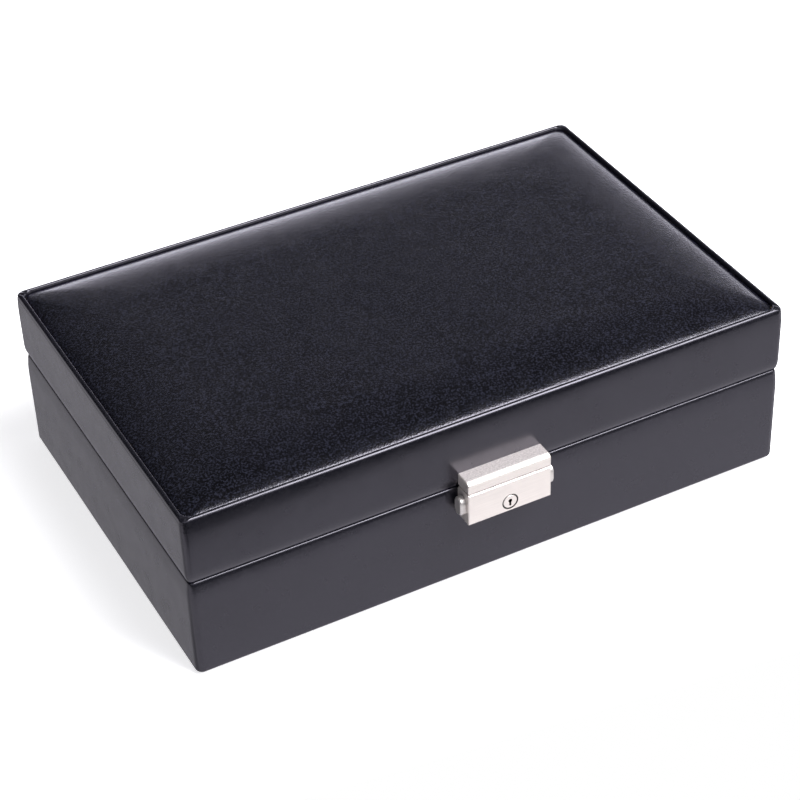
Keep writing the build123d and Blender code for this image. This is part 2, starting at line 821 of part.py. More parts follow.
with BuildPart() as lock_screws:
    for sign in (-1, 1):
        cheese_head_screw(
            sign * lock_screw_place, lock_screw_height, -base_clear_y, lock_screw_head_height,
            -base_clear_y - thread_boss_rear - fit_gap,
        )
write(lock_screws, "lock_screws")

# ---------------------------------------------------------------- press lock: plug and cam
with BuildPart() as lock_plug:
    rod_y(0, plug_height, plug_radius, (lock_face, plug_rear))
    chamfer(lock_plug.edges().sort_by(Axis.Y)[0], plug_chamfer)
    with BuildSketch(Plane.XZ.offset(-lock_face)) as keyhole:
        with Locations((0, plug_height + keyhole_radius / 2)):
            Circle(keyhole_radius)
        with Locations((0, plug_height - keyhole_drop / 2)):
            Rectangle(keyhole_slot, keyhole_drop)
    extrude(keyhole.sketch, amount=-keyhole_depth, mode=Mode.SUBTRACT)
    rod_y(
        0, plug_height, cam_screw_shank + screw_fit,
        (plug_rear - cam_screw_grip - fit_gap, plug_rear), Mode.SUBTRACT,
    )
write(lock_plug, "lock_plug")

cam_rear = plug_rear + cam_thickness
with BuildPart() as lock_cam:
    rod_y(0, plug_height, cam_disc, (plug_rear, cam_rear))
    block(
        (0, cam_reach), (plug_rear, cam_rear),
        (plug_height - cam_width / 2, plug_height + cam_width / 2),
    )
    rod_y(0, plug_height, cam_screw_shank + screw_fit, (plug_rear, cam_rear), Mode.SUBTRACT)
write(lock_cam, "lock_cam")

with BuildPart() as cam_screw:
    rod_y(0, plug_height, cam_screw_head, (cam_rear, cam_rear + cam_screw_head_height))
    chamfer(cam_screw.edges().sort_by(Axis.Y)[-1], cam_screw_edge)
    rod_y(0, plug_height, cam_screw_shank, (plug_rear - cam_screw_grip, cam_rear))
write(cam_screw, "cam_screw")

# ---------------------------------------------------------------- press lock: sliders and springs
flange_outer = lock_inside_x - button_fit
flange_inner = flange_outer - flange_thickness
hook_tip = prong_place - prong_half - hook_clearance
window_low = hasp_bottom - prong_length + window_sill
hook_middle = window_low + window_height / 2
spring_gap = spring_wire / 2 + spring_end_gap

for sign in (-1, 1):
    with BuildPart() as slider:
        shaft = sorted((sign * flange_inner, sign * (lock_half + button_reach)))
        stadium_x(button_height, button_depth, shaft)
        outer = slider.faces().sort_by(Axis.X)[-1 if sign > 0 else 0]
        chamfer(outer.edges(), button_edge)
        stadium_x(
            button_height + 2 * button_flange, button_depth + 2 * button_flange,
            sorted((sign * flange_inner, sign * flange_outer)),
        )
        block(
            sorted((sign * slider_inner, sign * flange_inner)), (slider_front, slider_rear),
            (slider_low, slider_high),
        )
        block(
            sorted((sign * hook_tip, sign * (hook_tip - hook_length))),
            (prong_front + window_margin / 2, slider_front),
            (hook_middle - hook_height / 2, hook_middle + hook_height / 2),
        )
        # lead-in on top of the hook, where the closing prong pushes it aside
        lead_in = slider.edges().filter_by(Axis.Y).filter_by(
            lambda edge: abs(edge.center().X - sign * hook_tip) < 0.01
        )
        chamfer(lead_in.sort_by(Axis.Z)[-1], hook_lead_in)
    write(slider, f"button_slider_{side_name(sign)}")

    coil_start = sign * (spring_post + spring_gap)
    coil_length = slider_inner - spring_post - 2 * spring_gap
    with BuildPart() as spring:
        with BuildLine() as coil:
            Helix(
                pitch=coil_length / spring_turns, height=coil_length, radius=spring_radius,
                center=(coil_start, spring_y, spring_z), direction=(sign, 0, 0),
            )
        with BuildSketch(Plane(origin=coil.line @ 0, z_dir=coil.line % 0)):
            Rectangle(spring_wire, spring_wire)
        sweep(is_frenet=True)
    write(spring, f"button_spring_{side_name(sign)}")

# ---------------------------------------------------------------- press lock: hasp on the lid
hasp_thread_end = lid_front - hasp_screw_depth
with BuildPart() as hasp:
    with BuildSketch(Plane.YZ.offset(-lock_half)):
        with BuildLine():
            Polyline(
                (lid_front, hasp_bottom), (lock_face, hasp_bottom),
                (lock_face, hasp_top - hasp_bevel_drop), (lock_face + hasp_bevel_run, hasp_top),
                (lid_front, hasp_top), close=True,
            )
        make_face()
    extrude(amount=lock_width)
    chamfer(
        hasp.edges().filter_by(
            lambda edge: edge.center().Y < lid_front - lock_edge
        ),
        lock_edge,
    )
    for sign in (-1, 1):
        prong_xs = (sign * prong_place - prong_half, sign * prong_place + prong_half)
        block(prong_xs, (prong_front, prong_rear), (hasp_bottom - prong_length, hasp_bottom + lock_edge))
        block(
            prong_xs, (prong_front + window_margin, prong_rear - window_margin),
            (window_low, window_low + window_height), Mode.SUBTRACT,
        )
        rod_y(
            sign * lock_screw_place, hasp_screw_height, lock_screw_shank + screw_fit,
            (hasp_thread_end - fit_gap, lid_front), Mode.SUBTRACT,
        )
write(hasp, "hasp")

with BuildPart() as hasp_screws:
    for sign in (-1, 1):
        cheese_head_screw(
            sign * lock_screw_place, hasp_screw_height, -lid_clear_y, lock_screw_head_height,
            -lid_clear_y - hasp_thread_end,
        )
write(hasp_screws, "hasp_screws")
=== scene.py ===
import json
import math

import bmesh
import bpy
from mathutils import Matrix, Vector, noise


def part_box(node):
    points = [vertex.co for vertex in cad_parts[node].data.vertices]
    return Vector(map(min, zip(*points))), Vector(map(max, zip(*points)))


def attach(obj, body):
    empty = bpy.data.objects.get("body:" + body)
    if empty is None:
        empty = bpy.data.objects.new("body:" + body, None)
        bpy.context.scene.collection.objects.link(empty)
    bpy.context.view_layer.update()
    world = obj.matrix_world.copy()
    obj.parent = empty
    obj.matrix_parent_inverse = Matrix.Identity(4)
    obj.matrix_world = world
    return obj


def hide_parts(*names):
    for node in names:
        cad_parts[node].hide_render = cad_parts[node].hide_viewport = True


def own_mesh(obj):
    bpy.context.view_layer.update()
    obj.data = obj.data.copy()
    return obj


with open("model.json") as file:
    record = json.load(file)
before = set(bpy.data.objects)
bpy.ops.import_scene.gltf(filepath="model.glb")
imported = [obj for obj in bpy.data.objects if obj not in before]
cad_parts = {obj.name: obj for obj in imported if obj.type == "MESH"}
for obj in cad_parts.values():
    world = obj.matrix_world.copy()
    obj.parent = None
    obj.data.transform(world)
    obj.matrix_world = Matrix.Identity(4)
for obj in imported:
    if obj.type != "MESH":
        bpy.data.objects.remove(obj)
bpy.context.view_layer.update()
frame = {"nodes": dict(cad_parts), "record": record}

MM = 0.001

# ---------------------------------------------------------------- sizes that the frame's boxes don't give
LEATHER = 0.8 * MM
WALL = 6.8 * MM                  # leather and board together
CORNER = 2.6 * MM                # upright edges of the leather covers
RIM_WIDTH = 2.6 * MM
RIM_ROUND = 1.35 * MM            # rim's outer edge
RIM_ROLL = 1.048 * MM            # rim top down to where that edge starts to roll
RIM_FLAT = 0.15 * MM             # top of the rim between its two curves
RIM_FALL = 1.7 * MM              # height over which the rim's inner side curves down to the groove
PANEL_SEAT = 5.2 * MM            # rim top down to the top board
SEAM_RAISE = 0.2 * MM            # thinner leather under the lid's edge
SEAM_ROUND = 0.2 * MM
LID_TURN_IN = 0.25 * MM          # pared leather turned in over the lid's boards
BASE_SWELL = 0.45 * MM           # how far the base's leather stands out of its CAD box
FOOT_ROUND = 1.5 * MM
TOP_ROUND = 1.0 * MM             # base's upper outer edge
TOP_ROLL = 0.742 * MM            # base top down to where that edge starts to roll
FLOOR_TURN_IN = 12.0 * MM        # leather glued under the floor
RIM_LEAN, TOP_LEAN, SEAM_LEAN = 13, 15, -35      # degrees that the walls lean where their edges start
KNUCKLE = 1.8 * MM               # radius of the hinge barrels
HINGE_CLEARANCE = 0.3 * MM
LEAF_CLEARANCE = 0.1 * MM
PANEL_CORNER = 4.0 * MM
PANEL_SHOULDER = 30.0 * MM       # width over which the padding rolls down to its edge
PANEL_CARD = 1.2 * MM
LINING_CORNER = 1.0 * MM
LINING_SHOULDER = 12.0 * MM
LINING_EDGE = 1.4 * MM           # thickness of the lid's lining at its edge
MERGE = 1e-7                     # points closer than this become one


# ---------------------------------------------------------------- mesh helpers
def new_object(name, bm, material, body, sharp_degrees):
    mesh = bpy.data.meshes.new(name)
    bmesh.ops.recalc_face_normals(bm, faces=bm.faces)
    bm.to_mesh(mesh)
    bm.free()
    for polygon in mesh.polygons:
        polygon.use_smooth = True
    mesh.set_sharp_from_angle(angle=math.radians(sharp_degrees))
    mesh.materials.append(material)
    piece = bpy.data.objects.new(name, mesh)
    bpy.context.scene.collection.objects.link(piece)
    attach(piece, body)
    return piece


def even(count):
    return 2 * max(1, math.ceil(count / 2))


def ring(half_x, half_y, radius, along_x, along_y, round_corner):
    """Stations round a rounded rectangle, counterclockwise from the middle of the +X side.

    Returns (x, y, outward normal, how far round the corner 0..1 or None) for each station. A
    negative radius gives the sharp corner of an inner offset.
    """
    centre_x, centre_y = half_x - radius, half_y - radius
    stations = []

    def side(start, end, normal, count):
        for i in range(count):
            t = i / count
            x = start[0] + (end[0] - start[0]) * t
            y = start[1] + (end[1] - start[1]) * t
            stations.append((x, y, normal, None))

    def corner(sign_x, sign_y, first_angle):
        for i in range(round_corner):
            angle = first_angle + math.pi / 2 * i / round_corner
            normal = (math.cos(angle), math.sin(angle))
            if radius > 0:
                place = (sign_x * centre_x + radius * normal[0], sign_y * centre_y + radius * normal[1])
            else:
                place = (sign_x * half_x, sign_y * half_y)
            stations.append((*place, normal, i / round_corner))

    if radius <= 0:
        centre_x, centre_y = half_x, half_y
    side((half_x, 0), (half_x, centre_y), (1, 0), along_y // 2)
    corner(1, 1, 0)
    side((centre_x, half_y), (-centre_x, half_y), (0, 1), along_x)
    corner(-1, 1, math.pi / 2)
    side((-half_x, centre_y), (-half_x, -centre_y), (-1, 0), along_y)
    corner(-1, -1, math.pi)
    side((-centre_x, -half_y), (centre_x, -half_y), (0, -1), along_x)
    corner(1, -1, 1.5 * math.pi)
    side((half_x, -centre_y), (half_x, 0), (1, 0), along_y // 2)
    return stations


def arc(centre, radii, first, last, steps):
    """Points of an ellipse's arc in the (outward, up) plane; angles in degrees."""
    points = []
    for i in range(steps + 1):
        angle = math.radians(first + (last - first) * i / steps)
        points.append((centre[0] + radii[0] * math.cos(angle), centre[1] + radii[1] * math.sin(angle)))
    return points


def run(start, end, steps):
    """Points between two ends, without the ends."""
    return [
        (start[0] + (end[0] - start[0]) * i / steps, start[1] + (end[1] - start[1]) * i / steps)
        for i in range(1, steps)
    ]


def link_rows(bm, rows):
    """Faces between each ring of vertices and the next one."""
    for low, high in zip(rows, rows[1:]):
        count = len(low)
        for i in range(count):
            bm.faces.new((low[i], low[(i + 1) % count], high[(i + 1) % count], high[i]))


def cap(bm, row):
    """Closes a ring that starts at the middle of its +X side with strips from side to side."""
    count = len(row)
    for i in range(count // 2):
        corners = [row[i], row[i + 1], row[(count - i - 1) % count], row[(count - i) % count]]
        different = list(dict.fromkeys(corners))
        if len(different) > 2:
            bm.faces.new(different)


def box_cutter(name, low, high):
    bm = bmesh.new()
    bmesh.ops.create_cube(bm, size=1.0)
    for vert in bm.verts:
        for axis in range(3):
            vert.co[axis] = low[axis] if vert.co[axis] < 0 else high[axis]
    mesh = bpy.data.meshes.new(name)
    bm.to_mesh(mesh)
    bm.free()
    cutter = bpy.data.objects.new(name, mesh)
    bpy.context.scene.collection.objects.link(cutter)
    return cutter


def cut_boxes(piece, boxes):
    """Cuts boxes out of a piece for good."""
    cutters = [box_cutter(f"cutter_{i}", low, high) for i, (low, high) in enumerate(boxes)]
    for cutter in cutters:
        modifier = piece.modifiers.new("cut", "BOOLEAN")
        modifier.object = cutter
        modifier.solver = "EXACT"
    graph = bpy.context.evaluated_depsgraph_get()
    mesh = bpy.data.meshes.new_from_object(piece.evaluated_get(graph))
    piece.modifiers.clear()
    piece.data = mesh
    for cutter in cutters:
        bpy.data.objects.remove(cutter)


# ---------------------------------------------------------------- shader helpers
def material(name):
    made = bpy.data.materials.new(name)
    made.use_nodes = True
    return made, made.node_tree.nodes, made.node_tree.links


def noise_node(nodes, links, coordinate, scale, detail=3.0, roughness=0.5):
    node = nodes.new("ShaderNodeTexNoise")
    node.inputs["Scale"].default_value = scale
    node.inputs["Detail"].default_value = detail
    node.inputs["Roughness"].default_value = roughness
    links.new(coordinate, node.inputs["Vector"])
    return node.outputs["Fac"]


def mapped(nodes, links, value, low, high, from_low=0.3, from_high=0.7):
    node = nodes.new("ShaderNodeMapRange")
    node.inputs["From Min"].default_value = from_low
    node.inputs["From Max"].default_value = from_high
    node.inputs["To Min"].default_value = low
    node.inputs["To Max"].default_value = high
    links.new(value, node.inputs["Value"])
    return node.outputs["Result"]


def combined(nodes, links, operation, first, second):
    """Two values put together by a math operation; the second may be a plain number."""
    node = nodes.new("ShaderNodeMath")
    node.operation = operation
    links.new(first, node.inputs[0])
    if isinstance(second, (int, float)):
        node.inputs[1].default_value = second
    else:
        links.new(second, node.inputs[1])
    return node.outputs[0]


def blended(nodes, links, factor, first, second):
    """Mix of two colours, each of them a socket or a plain (r, g, b)."""
    node = nodes.new("ShaderNodeMix")
    node.data_type = "RGBA"
    links.new(factor, node.inputs["Factor"])
    for socket, colour in ((node.inputs["A"], first), (node.inputs["B"], second)):
        if isinstance(colour, tuple):
            socket.default_value = (*colour, 1)
        else:
            links.new(colour, socket)
    return node.outputs["Result"]


def bump(nodes, links, height, strength, distance, below=None):
    node = nodes.new("ShaderNodeBump")
    node.inputs["Strength"].default_value = strength
    node.inputs["Distance"].default_value = distance
    links.new(height, node.inputs["Height"])
    if below:
        links.new(below, node.inputs["Normal"])
    return node.outputs["Normal"]


def stretched(nodes, links, coordinate, scale):
    node = nodes.new("ShaderNodeMapping")
    node.inputs["Scale"].default_value = scale
    links.new(coordinate, node.inputs["Vector"])
    return node.outputs["Vector"]


def parted(nodes, links, vector):
    """The X, Y and Z of a vector, by name."""
    node = nodes.new("ShaderNodeSeparateXYZ")
    links.new(vector, node.inputs[0])
    return node.outputs


# ---------------------------------------------------------------- materials
def leather_material(name, dark, light, roughness, grain_size, grain_depth, mottle_depth, glint_speckle):
    """Satin leather: fine pebbled grain over soft mottling, under a faintly violet finish.

    The speckle colour is painted at random in small light specks over the leather: painted glints of its
    grain.
    """
    made, nodes, links = material(name)
    shader = nodes["Principled BSDF"]
    where = nodes.new("ShaderNodeTexCoord").outputs["Object"]
    mottle = noise_node(nodes, links, where, 160, 4)
    broad = noise_node(nodes, links, where, 25, 2)
    tops = noise_node(nodes, links, where, 1 / grain_size, 1)
    fine = noise_node(nodes, links, where, 2.2 / grain_size, 2)
    grain = nodes.new("ShaderNodeTexVoronoi")
    grain.feature = "SMOOTH_F1"
    grain.inputs["Scale"].default_value = 1 / grain_size
    grain.inputs["Smoothness"].default_value = 0.6
    links.new(where, grain.inputs["Vector"])
    ground = blended(nodes, links, mapped(nodes, links, broad, 0, 1), dark, light)
    # painted glints: light specks in the colour at random places
    glint_specks = blended(nodes, links, mapped(nodes, links, tops, 0, 1, 0.46, 0.68), ground, glint_speckle)
    links.new(glint_specks, shader.inputs["Base Color"])
    gloss = mapped(nodes, links, mottle, roughness - 0.03, roughness + 0.04)
    links.new(gloss, shader.inputs["Roughness"])
    under = bump(nodes, links, mottle, 1.0, mottle_depth)
    pebbles = bump(nodes, links, grain.outputs["Distance"], 1.0, grain_depth, under)
    links.new(bump(nodes, links, fine, 1.0, grain_depth * 0.5, pebbles), shader.inputs["Normal"])
    shader.inputs["Specular IOR Level"].default_value = 0.6
    shader.inputs["Specular Tint"].default_value = (0.90, 0.87, 1.0, 1)
    shader.inputs["Sheen Weight"].default_value = 0.06
    shader.inputs["Sheen Roughness"].default_value = 0.3
    shader.inputs["Sheen Tint"].default_value = (0.32, 0.22, 1.0, 1)
    return made


def suede_material(name, dark, light):
    """Napped cloth with brushed patches."""
    made, nodes, links = material(name)
    shader = nodes["Principled BSDF"]
    where = nodes.new("ShaderNodeTexCoord").outputs["Object"]
    patches = mapped(nodes, links, noise_node(nodes, links, where, 60, 4, 0.6), 0, 1, 0.25, 0.75)
    nap = noise_node(nodes, links, where, 2600, 3, 0.7)
    links.new(blended(nodes, links, patches, dark, light), shader.inputs["Base Color"])
    links.new(bump(nodes, links, nap, 0.9, 0.12 * MM), shader.inputs["Normal"])
    shader.inputs["Roughness"].default_value = 0.95
    shader.inputs["Sheen Weight"].default_value = 0.5
    shader.inputs["Sheen Roughness"].default_value = 0.45
    shader.inputs["Specular IOR Level"].default_value = 0.2
    return made


def brushed_material(name, colour, roughness, streak, depth, metallic=1.0):
    """Plated metal brushed along its length; a dull plating is less than wholly metallic."""
    made, nodes, links = material(name)
    shader = nodes["Principled BSDF"]
    where = nodes.new("ShaderNodeTexCoord").outputs["Object"]
    lines = noise_node(nodes, links, stretched(nodes, links, where, streak), 1.0, 3, 0.7)
    clouds = noise_node(nodes, links, where, 260, 3)
    shade = tuple(0.86 * c for c in colour)
    tone = blended(nodes, links, mapped(nodes, links, lines, 0, 1), shade, colour)
    gloss = mapped(nodes, links, clouds, roughness - 0.05, roughness + 0.06)
    links.new(tone, shader.inputs["Base Color"])
    links.new(gloss, shader.inputs["Roughness"])
    links.new(bump(nodes, links, lines, 0.6, depth), shader.inputs["Normal"])
    shader.inputs["Metallic"].default_value = metallic
    return made


def board_material(name, dark, light):
    """Fibreboard, card or foam."""
    made, nodes, links = material(name)
    shader = nodes["Principled BSDF"]
    where = nodes.new("ShaderNodeTexCoord").outputs["Object"]
    fibres = noise_node(nodes, links, stretched(nodes, links, where, (400, 400, 1600)), 1.0, 4, 0.7)
    tone = blended(nodes, links, mapped(nodes, links, fibres, 0, 1), dark, light)
    links.new(tone, shader.inputs["Base Color"])
    links.new(bump(nodes, links, fibres, 0.6, 0.1 * MM), shader.inputs["Normal"])
    shader.inputs["Roughness"].default_value = 0.85
    return made


WALL_LEATHER = leather_material(
    "wall_leather", dark=(0.004, 0.004, 0.006), light=(0.007, 0.007, 0.010), roughness=0.24,
    grain_size=0.8 * MM, grain_depth=0.005 * MM, mottle_depth=0.006 * MM, glint_speckle=(0.012, 0.012, 0.015),
)
PANEL_LEATHER = leather_material(
    "panel_leather", dark=(0.0015, 0.0015, 0.002), light=(0.003, 0.003, 0.004), roughness=0.22,
    grain_size=0.8 * MM, grain_depth=0.048 * MM, mottle_depth=0.004 * MM, glint_speckle=(0.015, 0.016, 0.025),
)
SUEDE = suede_material("suede", (0.032, 0.031, 0.033), (0.055, 0.053, 0.056))
BRUSHED_NICKEL = brushed_material(
    "brushed_nickel", (0.86, 0.80, 0.75), 0.36, (60, 5000, 5000), 0.01 * MM, metallic=0.6
)
SATIN_NICKEL = brushed_material(
    "satin_nickel", (0.70, 0.67, 0.64), 0.36, (900, 3000, 3000), 0.006 * MM, metallic=0.7
)
PLAIN_STEEL = brushed_material("plain_steel", (0.55, 0.55, 0.56), 0.34, (2500, 2500, 400), 0.006 * MM)
BOARD = board_material("board", (0.40, 0.29, 0.18), (0.56, 0.44, 0.30))
CARD = board_material("card", (0.42, 0.38, 0.31), (0.56, 0.51, 0.43))
FOAM = board_material("foam", (0.66, 0.65, 0.58), (0.78, 0.77, 0.71))

SLOT_MATERIALS = {
    "smooth_leather": WALL_LEATHER,
    "panel_leather": PANEL_LEATHER,
    "foam": FOAM,
    "card": CARD,
    "suede": SUEDE,
    "tray_suede": SUEDE,
    "board": BOARD,
    "brushed_nickel": BRUSHED_NICKEL,
    "satin_nickel": SATIN_NICKEL,
    "plain_steel": PLAIN_STEEL,
}

slots = {part["node"]: part["material_slot"] for part in frame["record"]["subparts"]}
for node, piece in frame["nodes"].items():
    for slot in piece.material_slots:
        slot.material = SLOT_MATERIALS[slots[node]]


# ---------------------------------------------------------------- painted shade on the lock: round the key plug, in the keyway and on the hasp's top
JOINT_INNER, JOINT_OUTER = 2.95 * MM, 3.50 * MM          # radii of the ring of painted shade in the joint round the key plug
JOINT_BLUR = 0.08 * MM
# colour of the painted shade in the joint round the key plug and inside the keyway
JOINT_SHADE_COLOUR = (0.012, 0.011, 0.011)
KEYWAY_START, KEYWAY_FADE = 0.12 * MM, 0.1 * MM          # painted shade in the keyway starts and fades in this far behind the plug's face
TOP_SHADE_START, TOP_SHADE_FULL = 0.10 * MM, 0.03 * MM             # painted shade on the hasp's top starts and is full this far below the top
# fineness of the mottle in the painted shade on the hasp's top
TOP_SHADE_GRAIN = 1400
# the two colours of the painted shade on the hasp's top, mottled between them
TOP_SHADE_DARK, TOP_SHADE_LIGHT = (0.50, 0.46, 0.45), (0.72, 0.67, 0.66)


def own_metal(node):
    """Gives a piece its own copy of its metal."""
    piece = frame["nodes"][node]
    own = piece.material_slots[0].material.copy()
    own.name = f"{node}_nickel"
    for slot in piece.material_slots:
        slot.material = own
    return piece, own


def paint_joint_shade(node, centre, keyway):
    """Paints shade into a piece's colour: a dark ring, the painted shade in the joint round an axis along
    Y through a point of the world.

    With keyway, all of the colour is painted dark from a little behind that point, measured along Y, as
    painted shade inside the keyway.
    """
    piece, made = own_metal(node)
    nodes, links = made.node_tree.nodes, made.node_tree.links
    shader = nodes["Principled BSDF"]
    apart = nodes.new("ShaderNodeVectorMath")
    apart.operation = "SUBTRACT"
    apart.inputs[1].default_value = piece.matrix_world.inverted() @ centre
    links.new(nodes.new("ShaderNodeTexCoord").outputs["Object"], apart.inputs[0])
    far = nodes.new("ShaderNodeVectorMath")
    far.operation = "LENGTH"
    links.new(stretched(nodes, links, apart.outputs[0], (1, 0, 1)), far.inputs[0])
    radius = far.outputs["Value"]
    rise = mapped(nodes, links, radius, 0, 1, JOINT_INNER - JOINT_BLUR, JOINT_INNER + JOINT_BLUR)
    fall = mapped(nodes, links, radius, 1, 0, JOINT_OUTER - JOINT_BLUR, JOINT_OUTER + JOINT_BLUR)
    # the ring of painted shade in the joint
    dark = combined(nodes, links, "MULTIPLY", rise, fall)
    if keyway:
        behind = parted(nodes, links, apart.outputs[0])["Y"]
        keyway_shade = mapped(nodes, links, behind, 0, 1, KEYWAY_START, KEYWAY_START + KEYWAY_FADE)
        dark = combined(nodes, links, "MAXIMUM", keyway_shade, dark)
    unshaded = shader.inputs["Base Color"].links[0].from_socket
    links.new(blended(nodes, links, dark, unshaded, JOINT_SHADE_COLOUR), shader.inputs["Base Color"])


def paint_top_shade(node):
    """Paints shade on the upper face of a shiny piece: a darker, mottled colour there."""
    piece, made = own_metal(node)
    nodes, links = made.node_tree.nodes, made.node_tree.links
    shader = nodes["Principled BSDF"]
    where = nodes.new("ShaderNodeTexCoord").outputs["Object"]
    top = (piece.matrix_world.inverted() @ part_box(node)[1]).z
    height = parted(nodes, links, where)["Z"]
    on_top = mapped(nodes, links, height, 0, 1, top - TOP_SHADE_START, top - TOP_SHADE_FULL)
    grain = mapped(nodes, links, noise_node(nodes, links, where, TOP_SHADE_GRAIN, 2), 0, 1)
    # the darker mottled colour here is painted shade on the top
    dull = blended(nodes, links, grain, TOP_SHADE_DARK, TOP_SHADE_LIGHT)
    bright = shader.inputs["Base Color"].links[0].from_socket
    links.new(blended(nodes, links, on_top, bright, dull), shader.inputs["Base Color"])


plug_low, plug_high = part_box("lock_plug")
plug_centre = Vector(((plug_low.x + plug_high.x) / 2, plug_low.y, (plug_low.z + plug_high.z) / 2))
# painted shade round the key plug, on the body and on the plug, and inside the keyway
paint_joint_shade("lock_body", plug_centre, keyway=False)
paint_joint_shade("lock_plug", plug_centre, keyway=True)
# painted shade on the hasp's top
paint_top_shade("hasp")


# ---------------------------------------------------------------- leather covers
COVER_SPACING = 2.0 * MM         # stations along a cover's sides
COVER_CORNER_STEPS = 14
COVER_SHARP = 60                 # degrees
WALL_STEP = 0.4 * MM
BROAD_LUMPS, BROAD_DEPTH = 45, 0.05 * MM                 # lumps per metre, and their height
FINE_LUMPS, FINE_DEPTH = 260, 0.012 * MM
FINE_SHIFT = Vector((7, 3, 1))   # keeps the fine lumps apart from the broad ones
END_FACING = 0.7                 # from here on, a normal's X belongs to the case's ends
OUTER_BAND = 2.5 * MM            # this close to the cover's outer faces, its skin is the outer one
CREASE_DROP, CREASE_WIDTH, CREASE_DEPTH = 1.6 * MM, 0.25 * MM, 0.16 * MM
CREASE_ZONE = 4 * MM             # below the rim's top
GATHER, GATHER_ZONE = 0.22 * MM, 2.5 * MM
FOLD_PLACES, FOLD_WIDTH = (0.3, 0.7), 0.10               # as shares of the way round a corner
FOLD_DEPTH, FOLD_ZONE = 0.22 * MM, 0.6 * MM


def leather_lumps(place, normal, turn):
    """Small unevenness of glued leather, across the surface."""
    broad = noise.noise(place * BROAD_LUMPS) * BROAD_DEPTH
    fine = noise.noise(place * FINE_LUMPS + FINE_SHIFT) * FINE_DEPTH
    return Vector((normal[0], normal[1], 0)) * (broad + fine)


def leaning_wall(stations):
    """Points of a padded wall from (height, inward lean in degrees) pairs, going up.

    The widest place has the offset 0.
    """
    points = [(0.0, stations[0][0])]
    for (low, low_lean), (high, high_lean) in zip(stations, stations[1:]):
        steps = max(2, min(8, math.ceil((high - low) / WALL_STEP)))
        for i in range(steps):
            lean = math.radians(low_lean + (high_lean - low_lean) * (i + 0.5) / steps)
            offset, height = points[-1]
            points.append((offset - math.tan(lean) * (high - low) / steps, height + (high - low) / steps))
    widest = max(offset for offset, height in points)
    return [(offset - widest, height) for offset, height in points]


def rolled(point, radius, first, last, steps):
    """A round edge that starts at a point with the surface facing first degrees above level."""
    start = math.radians(first)
    centre = (point[0] - radius * math.cos(start), point[1] - radius * math.sin(start))
    return arc(centre, (radius, radius), first, last, steps)


def hinge_boxes():
    """Room in the covers for the hinge barrels."""
    boxes = []
    for side in ("left", "right"):
        low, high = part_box(f"hinge_leaf_base_{side}")
        axis_y = high.y - KNUCKLE
        axis_z = high.z - KNUCKLE
        reach = KNUCKLE + HINGE_CLEARANCE
        boxes.append((
            (low.x - HINGE_CLEARANCE, axis_y - reach, axis_z - reach),
            (high.x + HINGE_CLEARANCE, axis_y + reach, axis_z + reach),
        ))
    return boxes


def leaf_boxes(edge_z):
    """Room for the hinge leaves in the leather at a height."""
    boxes = []
    for side in ("left", "right"):
        low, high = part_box(f"hinge_leaf_base_{side}")
        boxes.append((
            (low.x - HINGE_CLEARANCE, low.y - LEAF_CLEARANCE, edge_z - LEATHER),
            (high.x + HINGE_CLEARANCE, high.y, edge_z + LEATHER),
        ))
    return boxes


def leather_cover(name, body, half, profile, corner, shape, seam_z):
    """Sweeps a closed profile of (outward offset, height) round the case, and cuts it for the hinges.

    corner gives the radius of the upright edges at an offset and a height, shape moves a point.
    """
    along_x = even(2 * half[0] / COVER_SPACING)
    along_y = even(2 * half[1] / COVER_SPACING)
    bm = bmesh.new()
    rows = []
    for offset, height in profile:
        stations = ring(
            half[0] + offset, half[1] + offset, corner(offset, height), along_x, along_y,
            COVER_CORNER_STEPS,
        )
        row = []
        for x, y, normal, turn in stations:
            place = Vector((x, y, height))
            row.append(bm.verts.new(place + shape(place, normal, turn)))
        rows.append(row)
    link_rows(bm, rows + rows[:1])
    bmesh.ops.remove_doubles(bm, verts=bm.verts, dist=MERGE)
    cover = new_object(name, bm, WALL_LEATHER, body, COVER_SHARP)
    cut_boxes(cover, hinge_boxes() + leaf_boxes(seam_z))
    return cover


lid_box_low, lid_box_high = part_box("lid_leather")
lid_half = (lid_box_high.x, lid_box_high.y)
lid_low, rim_top = lid_box_low.z, lid_box_high.z


